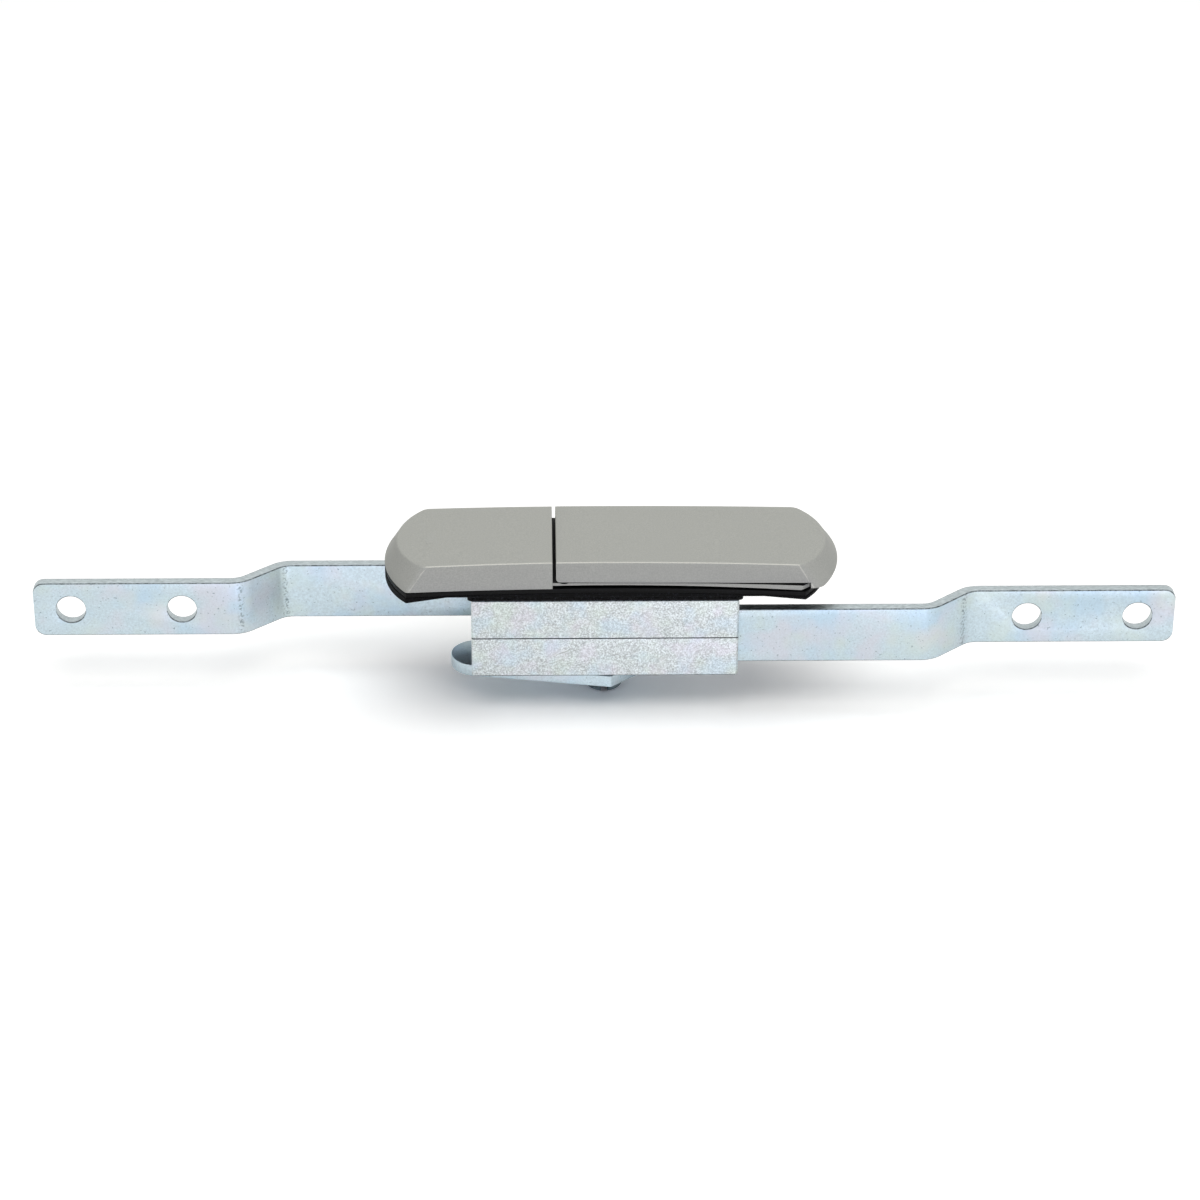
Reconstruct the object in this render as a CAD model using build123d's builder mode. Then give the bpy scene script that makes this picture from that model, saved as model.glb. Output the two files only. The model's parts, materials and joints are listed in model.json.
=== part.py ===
from build123d import *
from math import acos, hypot, pi, radians, sqrt, tan
import os

# Swing handle lock with two rack rods and a cam, in millimetres.
# The spindle axis is x = y = 0 and the door's outer face is z = 0. The lever points along +X,
# the handle stands on +Z and the gearbox hangs on -Z, behind the door.

# ---------------------------------------------------------------- driving dimensions

# Flat-bar rods
rod_width = 16.0
rod_thickness = 3.0
rod_reach = 154.4            # spindle axis to the rod's outer end
rod_overlap = 11.0           # how far each rod runs past the spindle axis at rest
rod_outer_offset = 3.1       # centre plane of the outer run, from the lock's centre plane
rod_jog_start = 87.5
rod_jog_length = 11.0
rod_bend_radius = 7.0
rod_end_radius = 3.0
rod_hole_diameter = 8.0
rod_hole_to_end = 10.0
rod_hole_pitch = 30.0

# Rack windows in the rods, and the pinion that drives them
teeth = 16
window_pitch = 5.0
window_height = 9.0
pressure_angle = 20.0
backlash = 0.2
tooth_rise = 1.4             # pitch circle to tooth tip
tooth_root_depth = 1.63      # pitch circle to tooth root
pinion_face = 8.0
journal_diameter = 14.0
handle_swing = 90.0          # degrees from locked to open

# Gearbox shell, split at the rods' mid-height
gearbox_side_wall = 1.07
gearbox_roof = 3.6
gearbox_end_wall = 3.25
gearbox_corner_bevel = 0.5   # upright corners
gearbox_bevel = 0.4          # outer edges of the two flat faces
parting_bevel = 0.15         # outer edges where the halves meet
parting_relief = 0.07        # step that keeps the halves' outer edges apart
parting_land = 0.6           # width of that step
channel_clearance = 0.1
stop_clearance = 1.5         # rod end to channel end when fully drawn in
pocket_clearance = 0.4       # tooth tips to pocket wall
rivet_diameter = 4.0
rivet_pitch = 61.0
bush_wall = 2.0

# Screws that hold the gearbox to the base
mounting_screw_diameter = 5.0
mounting_head_diameter = 8.5
mounting_head_height = 3.3
mounting_screw_pitch = 45.0
mounting_screw_grip = 4.0    # thread engaged in the base

# Base plate, its neck through the door and its gasket
door_gap = 3.0               # door's outer face to the gearbox's top
neck_length = 73.4
neck_width = 31.2
neck_corner_radius = 1.0
base_half_width = 18.9
base_head_corner = -52.8
base_head_tip = -58.8
base_lever_corner = 53.0
base_lever_tip = 59.4
base_top = 2.5
base_thickness = 1.3
base_crown_radius = 1100.0
gasket_flat_half_length = 42.0
gasket_head_drop = 1.7       # how far the free gasket's ends hang below the door face
gasket_lever_drop = 1.1
gasket_overhang = 0.2

# Handle outline at two heights: it stands out past the base by the overhangs at the lower one
# and is drawn in by the drafts at the upper one, with straight tapers between them
outline_low = 2.1
outline_high = 8.2
side_overhang = 0.75
side_draft = 3.3
head_corner_overhang = -0.2
head_corner_draft = 4.7
head_tip_overhang = 0.0
head_tip_draft = 3.45
head_round_low = 1.5         # round of the head's corners
head_round_high = 2.8
lever_corner_overhang = 4.7
lever_corner_draft = 5.65
lever_tip_overhang = 3.55
lever_tip_draft = 3.9
lever_round_low = 3.9
lever_round_high = 3.1
handle_top = 8.85
head_crown_radius = 1250.0
lever_crown_radius = 1700.0
edge_bevel = 0.22            # top edges of the head cover and the lever

# Head cover
head_skirt = 2.72            # lower edge of the head cover at x = 0
head_skirt_radius = 1700.0
head_wall = 1.8
head_roof = 1.6
split_wall = 1.2
split_gap = 0.95             # between the head cover and the lever
cover_post_width = 7.5
cover_screw_diameter = 3.5
cover_screw_head_diameter = 7.0
cover_screw_first = -24.0
cover_screw_pitch = 20.0

# Lever and its hinge
lever_root = -13.1
lever_wall = 1.7
lever_roof = 1.6
lever_lift = 35.0            # degrees from folded to raised
pin_to_root = 2.1            # hinge pin to the lever's root and to its top
root_round = 0.9             # lower corner of the lever's root
lever_edge_root = 4.2        # lower edge of the lever's sides at the root
lever_edge_end = 3.85        # and at the lip
hinge_pin_diameter = 1.8
hinge_beam_length = 3.7      # solid root of the lever, along the handle
knuckle_width = 12.0
knuckle_wall = 0.55
knuckle_foot_rise = 1.15      # knuckle's foot above the rim
pin_grip = 4.0               # pin past the knuckle, in the lever's blind side
pin_recess = 0.8             # pin end below the lever's rear side
lip_setback = 3.4            # lip's inner face behind the outline's lower corners
lip_bottom = 2.6
lip_wall = 1.4
lever_rib_depth = 0.8
lever_rib_thickness = 1.2
lever_rib_spacing = 9.0
lever_rib_start = 11.0
lever_cross_rib_pitch = 14.0
bumper_width = 4.5
bumper_spacing = 18.0
bumper_to_lip = 12.5

# Handle frame under the cover and the lever
frame_bottom = 3.4
frame_bottom_crown_radius = 970.0
rim_top = 4.0
rim_top_crown_radius = 1500.0
rim_inset = 0.3
rim_corner_chamfer = 2.2
rim_to_lip = 0.2
floor_top = 5.6
floor_to_lip = 4.6
cover_screw_seat = 0.6       # seats of the cover's screws, above the frame's lower face
cover_screw_seat_margin = 0.5
hub_diameter = 18.0
hub_bottom = -2.8
socket_boss_width = 12.0
socket_boss_top = 6.9
socket_roof = 0.8
thrust_washer_width = 4.0

# Spindle and retaining ring
spindle_square = 8.0
spindle_chamfer = 0.5
ring_thickness = 1.0
ring_groove_depth = 1.1
ring_width = 2.4
ring_gap = 8.0               # opening between the ring's ends
ring_recess_depth = 2.5
ring_recess_margin = 1.0     # room around the ring in its recess

# Cam, washers and screw below the gearbox
cam_thickness = 3.4
cam_standoff = 0.7           # gearbox to cam
cam_tip_reach = 41.6
cam_tip_radius = 7.0
cam_tip_offset = 1.2         # the tip leans to -Y
cam_half_width = 14.5
cam_shoulder = 1.7
cam_tail_reach = 11.5
cam_tail_half_width = 5.8
washer_diameter = 12.0
washer_thickness = 1.4
spring_washer_diameter = 11.6
spring_washer_height = 1.8
spring_washer_gap = 1.2
spring_washer_skew = 30.0    # degrees, lean of the split
cam_screw_diameter = 6.0
cam_screw_length = 16.0
cam_screw_head_diameter = 10.0
cam_screw_head_height = 3.9
cam_screw_bevel = 0.6
cam_screw_tip_gap = 1.0      # drilled hole past the screw's end
cam_screw_slot_width = 1.6
cam_screw_slot_depth = 1.9

# Clearances
running_clearance = 0.05     # radial, shafts in bores
axial_clearance = 0.1
seat_clearance = 0.05        # fixed pieces in their holes
cover_clearance = 0.15       # frame inside its covers
flush_clearance = 0.1        # heads below the face they are sunk in
overshoot = 1.0              # how far a cut runs past what it cuts

# ---------------------------------------------------------------- sizes that follow

pitch_radius = teeth * window_pitch / (2 * pi)
stroke = pitch_radius * radians(handle_swing)
tip_radius = pitch_radius + tooth_rise
root_radius = pitch_radius - tooth_root_depth
base_circle_radius = pitch_radius * sqrt(1 - (tan(radians(pressure_angle)) ** 2)
                                         / (1 + tan(radians(pressure_angle)) ** 2))

cavity_half_height = rod_width / 2 + channel_clearance
gearbox_half_height = cavity_half_height + gearbox_roof
gearbox_top = -door_gap
parting = gearbox_top - gearbox_half_height
gearbox_bottom = parting - gearbox_half_height
channel_width = rod_thickness + 2 * channel_clearance
channel_end = rod_overlap + stroke + stop_clearance
gearbox_length = 2 * (channel_end + gearbox_end_wall)
gearbox_depth = 2 * (pitch_radius + channel_width / 2 + gearbox_side_wall)
pocket_radius = tip_radius + pocket_clearance

bush_bore = journal_diameter + 2 * running_clearance
bush_diameter = bush_bore + 2 * bush_wall
bush_seat = bush_diameter + 2 * seat_clearance
bush_start = pinion_face / 2 + axial_clearance
square_hole = spindle_square + 2 * seat_clearance

cam_top = gearbox_bottom - cam_standoff
cam_bottom = cam_top - cam_thickness
washer_bottom = cam_bottom - washer_thickness
spring_washer_bottom = washer_bottom - spring_washer_height
cam_screw_bottom = spring_washer_bottom - cam_screw_head_height

base_bottom = base_top - base_thickness
hub_bore = hub_diameter + 2 * running_clearance
ring_recess_top = gearbox_top + ring_recess_depth
ring_top = ring_recess_top - axial_clearance
ring_bottom = ring_top - ring_thickness
ring_groove_diameter = hub_diameter - 2 * ring_groove_depth
ring_outer_diameter = ring_groove_diameter + 2 * ring_width

half_width_low = base_half_width + side_overhang
half_width_high = half_width_low - side_draft
head_corner_low = base_head_corner - head_corner_overhang
head_corner_high = head_corner_low + head_corner_draft
head_tip_low = base_head_tip - head_tip_overhang
head_tip_high = head_tip_low + head_tip_draft
lever_corner_low = base_lever_corner + lever_corner_overhang
lever_corner_high = lever_corner_low - lever_corner_draft
lever_tip_low = base_lever_tip + lever_tip_overhang
lever_tip_high = lever_tip_low - lever_tip_draft

lip_start = lever_corner_low - lip_setback
rim_end = lip_start - rim_to_lip
floor_end = lip_start - floor_to_lip
bumper_place = lip_start - bumper_to_lip
lever_split = lever_root - split_gap
rim_start = lever_split + seat_clearance
pin_x = lever_root + pin_to_root

# Arched surfaces, each as (height at x = 0, radius)
head_crown = (handle_top, head_crown_radius)
head_ceiling = (handle_top - head_roof, head_crown_radius)
head_skirt_arch = (head_skirt, head_skirt_radius)
lever_crown = (handle_top, lever_crown_radius)
lever_ceiling = (handle_top - lever_roof, lever_crown_radius)
lever_crest = (handle_top - lever_roof / 2, lever_crown_radius)
base_top_arch = (base_top, base_crown_radius)
base_bottom_arch = (base_bottom, base_crown_radius)
frame_bottom_arch = (frame_bottom, frame_bottom_crown_radius)
rim_top_arch = (rim_top, rim_top_crown_radius)
floor_top_arch = (floor_top, rim_top_crown_radius)
below = (0.0, base_crown_radius)


# ---------------------------------------------------------------- shared shapes

def arch_height(x, arch):
    """Height at x of an arched surface given as (height at x = 0, radius)."""
    height, radius = arch
    return height - radius + sqrt(radius ** 2 - x ** 2)


pin_z = arch_height(pin_x, lever_crown) - pin_to_root


def bulged_end(corner, tip, half_width, inset):
    """Corner and tip of an outline's bulged end after it is drawn in by inset."""
    bulge = tip - corner
    radius = (half_width ** 2 + bulge ** 2) / (2 * abs(bulge))
    side = 1 if bulge > 0 else -1
    centre = tip - side * radius
    reach = sqrt((radius - inset) ** 2 - (half_width - inset) ** 2)
    return centre + side * reach, tip - side * inset


def bulged_outline(half_width, head_corner, head_tip, lever_corner, lever_tip,
                   inset=0.0, head_round=0.0, lever_round=0.0):
    """Plan outline with straight sides and an outward arc at each end."""
    head_corner, head_tip = bulged_end(head_corner, head_tip, half_width, inset)
    lever_corner, lever_tip = bulged_end(lever_corner, lever_tip, half_width, inset)
    half_width = half_width - inset
    with BuildSketch() as outline:
        with BuildLine():
            head = ThreePointArc((head_corner, -half_width), (head_tip, 0), (head_corner, half_width))
            lever_end = ThreePointArc((lever_corner, half_width), (lever_tip, 0),
                                      (lever_corner, -half_width))
            Line(head @ 1, lever_end @ 0)
            Line(lever_end @ 1, head @ 0)
        make_face()
        if head_round:
            fillet(outline.vertices().group_by(Axis.X)[0], head_round)
        if lever_round:
            fillet(outline.vertices().group_by(Axis.X)[-1], lever_round)
    return outline.sketch


def handle_form(inset=0.0):
    """Tapered body that the cover, the lever and the frame are all cut from.

    Its corners are rounded outside; drawn in by an inset, for an inner wall, they are sharp.
    """
    with BuildPart() as form:
        for height in (0.0, handle_top + overshoot):
            rise = (height - outline_low) / (outline_high - outline_low)
            *sizes, head_round, lever_round = [low + rise * (high - low) for low, high in (
                (half_width_low, half_width_high),
                (head_corner_low, head_corner_high), (head_tip_low, head_tip_high),
                (lever_corner_low, lever_corner_high), (lever_tip_low, lever_tip_high),
                (head_round_low, head_round_high), (lever_round_low, lever_round_high))]
            with BuildSketch(Plane.XY.offset(height)):
                if inset:
                    add(bulged_outline(*sizes, inset=inset))
                else:
                    add(bulged_outline(*sizes, head_round=head_round, lever_round=lever_round))
        loft(ruled=True)
    return form.part


def arched_slab(x_from, x_to, top, bottom):
    """Slab right across the handle between two arched surfaces."""
    stations = (x_from, (x_from + x_to) / 2, x_to)
    with BuildPart() as slab:
        with BuildSketch(Plane.XZ):
            with BuildLine():
                upper = ThreePointArc(*[(x, arch_height(x, top)) for x in stations])
                lower = ThreePointArc(*[(x, arch_height(x, bottom)) for x in reversed(stations)])
                Line(upper @ 1, lower @ 0)
                Line(lower @ 1, upper @ 0)
            make_face()
        extrude(amount=2 * half_width_low, both=True)
    return slab.part


def handle_slice(x_from, x_to, top, bottom, inset=0.0):
    """Piece of the handle's tapered body between two arched surfaces."""
    with BuildPart() as piece:
        add(handle_form(inset))
        add(arched_slab(x_from, x_to, top, bottom), mode=Mode.INTERSECT)
    return piece.part


def round_bar(diameter, bottom, top, at=((0, 0),)):
    """Upright round bars between two heights."""
    with BuildPart() as bar:
        with BuildSketch(Plane.XY.offset(bottom)):
            with Locations(*at):
                Circle(diameter / 2)
        extrude(amount=top - bottom)
    return bar.part


def square_bar(width, bottom, top):
    """Upright square bar on the spindle axis between two heights."""
    with BuildPart() as bar:
        with BuildSketch(Plane.XY.offset(bottom)):
            Rectangle(width, width)
        extrude(amount=top - bottom)
    return bar.part


os.makedirs("parts", exist_ok=True)

# ---------------------------------------------------------------- rods


def window_half_width(outward):
    """Half the width of a rack window at a distance outward from the pitch plane."""
    return window_pitch / 4 + backlash / 2 - outward * tan(radians(pressure_angle))


def rack_rod(phase):
    """Rod on the +Y side: it runs to -X, jogs to the centre plane and holds the rack windows."""
    jog_end = rod_jog_start + rod_jog_length
    windows = round(stroke / window_pitch) + 3
    with BuildPart() as rod:
        with BuildLine() as run:
            FilletPolyline((rod_overlap, pitch_radius), (-rod_jog_start, pitch_radius),
                           (-jog_end, rod_outer_offset), (-rod_reach, rod_outer_offset),
                           radius=rod_bend_radius)
        with BuildSketch(Plane(origin=(rod_overlap, pitch_radius, parting),
                               x_dir=(0, 0, 1), z_dir=(-1, 0, 0))):
            Rectangle(rod_width, rod_thickness)
        sweep(path=run.line.moved(Location((0, 0, parting))))
        fillet(rod.edges().filter_by(Axis.Y).group_by(Axis.X)[0], rod_end_radius)
        with BuildSketch(Plane.XZ):
            with Locations((-rod_reach + rod_hole_to_end, parting),
                           (-rod_reach + rod_hole_to_end + rod_hole_pitch, parting)):
                Circle(rod_hole_diameter / 2)
        extrude(amount=pitch_radius, both=True, mode=Mode.SUBTRACT)
        with BuildSketch(Plane.XY.offset(parting - window_height / 2)):
            with Locations(*[((1 - index) * window_pitch + phase, pitch_radius)
                             for index in range(windows)]):
                inner = window_half_width(-rod_thickness)
                outer = window_half_width(rod_thickness)
                Polygon((-inner, -rod_thickness), (inner, -rod_thickness),
                        (outer, rod_thickness), (-outer, rod_thickness), align=None)
        extrude(amount=window_height, mode=Mode.SUBTRACT)
    return rod.part


with BuildPart() as left_rod:
    add(rack_rod(0.0))
left_rod.part.label = "left_rod"
export_step(left_rod.part, "parts/left_rod.step")

with BuildPart() as right_rod:
    half_tooth = (teeth / 2) % 1 * window_pitch
    add(rack_rod(half_tooth), rotation=(0, 0, 180))
right_rod.part.label = "right_rod"
export_step(right_rod.part, "parts/right_rod.step")

# ---------------------------------------------------------------- pinion


def involute(angle):
    return tan(angle) - angle


def flank_point(radius, side):
    """Point of the involute flank of the tooth that points along +X."""
    roll = acos(base_circle_radius / radius)
    half_angle = pi / (2 * teeth) + involute(radians(pressure_angle)) - involute(roll)
    return Vector(radius, 0).rotate(Axis.Z, side * half_angle * 180 / pi)


def flank_points(side):
    """Base circle, pitch circle and tip of one flank."""
    return [flank_point(radius, side) for radius in (base_circle_radius, pitch_radius, tip_radius)]


with BuildPart() as pinion:
    with BuildSketch() as tooth:
        with BuildLine():
            right = ThreePointArc(*flank_points(-1))
            left = ThreePointArc(*reversed(flank_points(1)))
            foot = root_radius - tooth_root_depth
            ThreePointArc(right @ 1, (tip_radius, 0), left @ 0)
            Line(left @ 1, (foot, (left @ 1).Y * foot / base_circle_radius))
            Line((foot, (left @ 1).Y * foot / base_circle_radius),
                 (foot, (right @ 0).Y * foot / base_circle_radius))
            Line((foot, (right @ 0).Y * foot / base_circle_radius), right @ 0)
        make_face()
    with BuildSketch(Plane.XY.offset(parting - pinion_face / 2)) as gear:
        Circle(root_radius)
        with PolarLocations(0, teeth, start_angle=90):
            add(tooth.sketch)
    extrude(gear.sketch, amount=pinion_face)
    add(round_bar(journal_diameter, cam_top, gearbox_top - axial_clearance))
    add(square_bar(square_hole, cam_bottom, handle_top), mode=Mode.SUBTRACT)
pinion.part.label = "pinion"
export_step(pinion.part, "parts/pinion.step")

# ---------------------------------------------------------------- gearbox

rivet_places = [(-rivet_pitch / 2, 0), (rivet_pitch / 2, 0)]
mounting_places = [(-mounting_screw_pitch / 2, 0), (mounting_screw_pitch / 2, 0)]


def housing_half(side):
    """Shell half with the pinion's pocket, the rods' channels, the bush's seat and rivet holes."""
    face = Plane(origin=(0, 0, parting), x_dir=(1, 0, 0), z_dir=(0, 0, side))
    with BuildPart() as half:
        with BuildSketch(face):
            Rectangle(gearbox_length, gearbox_depth)
        extrude(amount=gearbox_half_height)
        chamfer(half.edges().filter_by(Axis.Z), gearbox_corner_bevel)
        chamfer(half.edges().group_by(Axis.Z)[-1 if side > 0 else 0], gearbox_bevel)
        chamfer(half.edges().group_by(Axis.Z)[0 if side > 0 else -1], parting_bevel)
        with BuildSketch(face):
            Rectangle(gearbox_length, gearbox_depth)
            Rectangle(gearbox_length - 2 * parting_land, gearbox_depth - 2 * parting_land,
                      mode=Mode.SUBTRACT)
        extrude(amount=parting_relief, mode=Mode.SUBTRACT)
        with BuildSketch(face):
            Circle(pocket_radius)
            for end in (-1, 1):
                with Locations((end * (gearbox_length / 2 - channel_end) / 2, -end * side * pitch_radius)):
                    Rectangle(gearbox_length / 2 + channel_end, channel_width)
        extrude(amount=cavity_half_height, mode=Mode.SUBTRACT)
        with BuildSketch(face):
            Circle(bush_seat / 2)
            with Locations(*rivet_places):
                Circle(rivet_diameter / 2 + seat_clearance)
        extrude(amount=gearbox_half_height, mode=Mode.SUBTRACT)
    return half.part


with BuildPart() as gearbox_upper_housing:
    add(housing_half(1))
    add(round_bar(mounting_screw_diameter + 2 * seat_clearance, parting, gearbox_top, mounting_places),
        mode=Mode.SUBTRACT)
gearbox_upper_housing.part.label = "gearbox_upper_housing"
export_step(gearbox_upper_housing.part, "parts/gearbox_upper_housing.step")

head_seat = gearbox_bottom + mounting_head_height + flush_clearance

with BuildPart() as gearbox_lower_housing:
    add(housing_half(-1))
    add(round_bar(mounting_screw_diameter + 2 * seat_clearance, gearbox_bottom, parting, mounting_places),
        mode=Mode.SUBTRACT)
    add(round_bar(mounting_head_diameter + 2 * seat_clearance, gearbox_bottom, head_seat, mounting_places),
        mode=Mode.SUBTRACT)
gearbox_lower_housing.part.label = "gearbox_lower_housing"
export_step(gearbox_lower_housing.part, "parts/gearbox_lower_housing.step")

with BuildPart() as gearbox_rivets:
    add(round_bar(rivet_diameter, gearbox_bottom + flush_clearance, gearbox_top - flush_clearance,
                  rivet_places))
gearbox_rivets.part.label = "gearbox_rivets"
export_step(gearbox_rivets.part, "parts/gearbox_rivets.step")


def journal_bush(side):
    """Bush for one journal of the pinion; its inner end also carries the pinion's face."""
    face = Plane(origin=(0, 0, parting), x_dir=(1, 0, 0), z_dir=(0, 0, side))
    with BuildPart() as bush:
        with BuildSketch(face.offset(bush_start)):
            Circle(bush_diameter / 2)
            Circle(bush_bore / 2, mode=Mode.SUBTRACT)
        extrude(amount=gearbox_half_height - axial_clearance - bush_start)
    return bush.part


with BuildPart() as upper_bush:
    add(journal_bush(1))
upper_bush.part.label = "upper_bush"
export_step(upper_bush.part, "parts/upper_bush.step")

with BuildPart() as lower_bush:
    add(journal_bush(-1))
lower_bush.part.label = "lower_bush"
export_step(lower_bush.part, "parts/lower_bush.step")

with BuildPart() as mounting_screws:
    add(round_bar(mounting_head_diameter, head_seat - mounting_head_height, head_seat, mounting_places))
    add(round_bar(mounting_screw_diameter, head_seat, gearbox_top + mounting_screw_grip, mounting_places))
    with BuildSketch(Plane.XY.offset(head_seat - mounting_head_height)):
        with Locations(*mounting_places):
            RegularPolygon(mounting_screw_diameter / 2, 6)
    extrude(amount=mounting_head_height / 2, mode=Mode.SUBTRACT)
mounting_screws.part.label = "mounting_screws"
export_step(mounting_screws.part, "parts/mounting_screws.step")

# ---------------------------------------------------------------- base plate and gasket

base_sizes = (base_half_width, base_head_corner, base_head_tip, base_lever_corner, base_lever_tip)

with BuildPart() as base_plate:
    with BuildSketch(Plane.XY.offset(-base_top)):
        add(bulged_outline(*base_sizes))
    extrude(amount=3 * base_top)
    add(arched_slab(base_head_tip - overshoot, base_lever_tip + overshoot, base_top_arch, base_bottom_arch),
        mode=Mode.INTERSECT)
    with BuildSketch(Plane.XY.offset(gearbox_top)):
        RectangleRounded(neck_length, neck_width, neck_corner_radius)
    extrude(amount=door_gap + base_bottom)
    add(round_bar(hub_bore, gearbox_top, base_top), mode=Mode.SUBTRACT)
    add(round_bar(ring_outer_diameter + 2 * ring_recess_margin, gearbox_top, ring_recess_top),
        mode=Mode.SUBTRACT)
    add(round_bar(mounting_screw_diameter + 2 * seat_clearance, gearbox_top,
                  gearbox_top + mounting_screw_grip + axial_clearance, mounting_places), mode=Mode.SUBTRACT)
base_plate.part.label = "base_plate"
export_step(base_plate.part, "parts/base_plate.step")

with BuildPart() as base_gasket:
    gasket_depth = 3 * gasket_head_drop
    with BuildSketch(Plane.XY.offset(-gasket_depth)):
        add(bulged_outline(*base_sizes, inset=-gasket_overhang))
    extrude(amount=gasket_depth + base_top)
    with BuildSketch(Plane.XZ):
        with BuildLine():
            far = base_lever_tip + overshoot
            free_length = far - gasket_flat_half_length
            head_drop = gasket_head_drop * free_length / (-base_head_corner - gasket_flat_half_length)
            lever_drop = gasket_lever_drop * free_length / (base_lever_corner - gasket_flat_half_length)
            upper = ThreePointArc(*[(x, arch_height(x, base_bottom_arch)) for x in (-far, 0, far)])
            Polyline(upper @ 1, (far, -lever_drop), (gasket_flat_half_length, 0),
                     (-gasket_flat_half_length, 0), (-far, -head_drop), upper @ 0)
        make_face()
    extrude(amount=2 * base_half_width, both=True, mode=Mode.INTERSECT)
    with BuildSketch(Plane.XY.offset(-gasket_depth)):
        RectangleRounded(neck_length + 2 * seat_clearance, neck_width + 2 * seat_clearance,
                         neck_corner_radius)
    extrude(amount=gasket_depth + base_top, mode=Mode.SUBTRACT)
base_gasket.part.label = "base_gasket"
export_step(base_gasket.part, "parts/base_gasket.step")

with BuildPart() as thrust_washer:
    washer_bore = hub_diameter + 4 * running_clearance
    washer_top = arch_height(hub_diameter / 2 + thrust_washer_width, frame_bottom_arch) - axial_clearance
    add(round_bar(hub_diameter + 2 * thrust_washer_width, base_top, washer_top))
    add(round_bar(washer_bore, base_top, washer_top), mode=Mode.SUBTRACT)
thrust_washer.part.label = "thrust_washer"
export_step(thrust_washer.part, "parts/thrust_washer.step")

# ---------------------------------------------------------------- handle frame and what turns with it

cover_screw_places = [(cover_screw_first, 0), (cover_screw_first - cover_screw_pitch, 0)]
knuckle_radius = hinge_pin_diameter / 2 + knuckle_wall
frame_inset = head_wall + cover_clearance
hinge_beam_end = pin_x + hinge_beam_length
root_swing = root_round + hypot(pin_to_root - root_round, pin_z - lever_edge_root - root_round)
screw_seat = frame_bottom + cover_screw_seat
seat_width = cover_screw_head_diameter + 2 * cover_screw_seat_margin

with BuildPart() as handle_frame:
    add(handle_slice(head_tip_low, floor_end, floor_top_arch, frame_bottom_arch, frame_inset + rim_inset))
    with BuildPart(mode=Mode.PRIVATE) as rim:
        add(handle_slice(rim_start, rim_end, rim_top_arch, frame_bottom_arch, rim_inset))
        with BuildSketch() as rim_plan:
            with Locations(((rim_start + rim_end) / 2, 0)):
                Rectangle(rim_end - rim_start, 2 * (half_width_low - rim_inset))
            chamfer(rim_plan.vertices().group_by(Axis.X)[-1], rim_corner_chamfer)
        extrude(amount=handle_top, mode=Mode.INTERSECT)
    with BuildSketch(Plane.XZ):
        with Locations(((rim_start + hinge_beam_end) / 2, rim_top + floor_top / 2)):
            Rectangle(hinge_beam_end - rim_start, floor_top)
    extrude(amount=half_width_low, both=True, mode=Mode.SUBTRACT)
    add(rim.part)
    with BuildSketch(Plane.XZ):
        with Locations((pin_x, pin_z)):
            Circle(root_swing + axial_clearance)
    extrude(amount=half_width_low, both=True, mode=Mode.SUBTRACT)
    add(round_bar(hub_diameter, hub_bottom, frame_bottom))
    add(square_bar(socket_boss_width, frame_bottom, socket_boss_top))
    with BuildSketch(Plane.XZ):
        with Locations((pin_x, pin_z)):
            Circle(knuckle_radius)
        with BuildLine():
            Polyline((pin_x - knuckle_radius, pin_z), (pin_x - knuckle_radius, frame_bottom),
                     (0, frame_bottom), (0, rim_top + knuckle_foot_rise),
                     (pin_x + knuckle_radius, rim_top + knuckle_foot_rise),
                     (pin_x + knuckle_radius, pin_z), close=True)
        make_face()
    extrude(amount=knuckle_width / 2, both=True)
    with BuildSketch(Plane.XZ):
        with Locations((pin_x, pin_z)):
            Circle(hinge_pin_diameter / 2 + running_clearance)
    extrude(amount=knuckle_width, both=True, mode=Mode.SUBTRACT)
    add(square_bar(square_hole, hub_bottom, socket_boss_top - socket_roof), mode=Mode.SUBTRACT)
    add(round_bar(cover_screw_diameter + 2 * seat_clearance, 0, floor_top, cover_screw_places),
        mode=Mode.SUBTRACT)
    with BuildSketch():
        with Locations((cover_screw_first - cover_screw_pitch / 2, 0)):
            Rectangle(cover_screw_pitch + seat_width, seat_width)
    extrude(amount=screw_seat, mode=Mode.SUBTRACT)
    with BuildSketch(Plane.XY.offset(ring_bottom - seat_clearance)):
        Circle(hub_diameter / 2 + overshoot)
        Circle(ring_groove_diameter / 2 - seat_clearance, mode=Mode.SUBTRACT)
    extrude(amount=ring_thickness + 2 * seat_clearance, mode=Mode.SUBTRACT)
handle_frame.part.label = "handle_frame"
export_step(handle_frame.part, "parts/handle_frame.step")

with BuildPart() as head_cover:
    add(handle_slice(head_tip_low - overshoot, lever_split, head_crown, head_skirt_arch))
    chamfer(head_cover.faces().sort_by(Axis.Z)[-1].edges(), edge_bevel)
    add(handle_slice(head_tip_low, lever_split - split_wall, head_ceiling, below, head_wall),
        mode=Mode.SUBTRACT)
    notch_top = (floor_top + cover_clearance, rim_top_crown_radius)
    add(handle_slice(lever_split - 2 * split_wall, lever_split + overshoot, notch_top, below, head_wall),
        mode=Mode.SUBTRACT)
    with BuildSketch(Plane.XY.offset(floor_top)):
        with Locations(*cover_screw_places):
            Rectangle(cover_post_width, cover_post_width)
    extrude(amount=handle_top - head_roof / 2 - floor_top)
    add(round_bar(cover_screw_diameter + 2 * seat_clearance, floor_top,
                  handle_top - head_roof, cover_screw_places), mode=Mode.SUBTRACT)
head_cover.part.label = "head_cover"
export_step(head_cover.part, "parts/head_cover.step")

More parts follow.
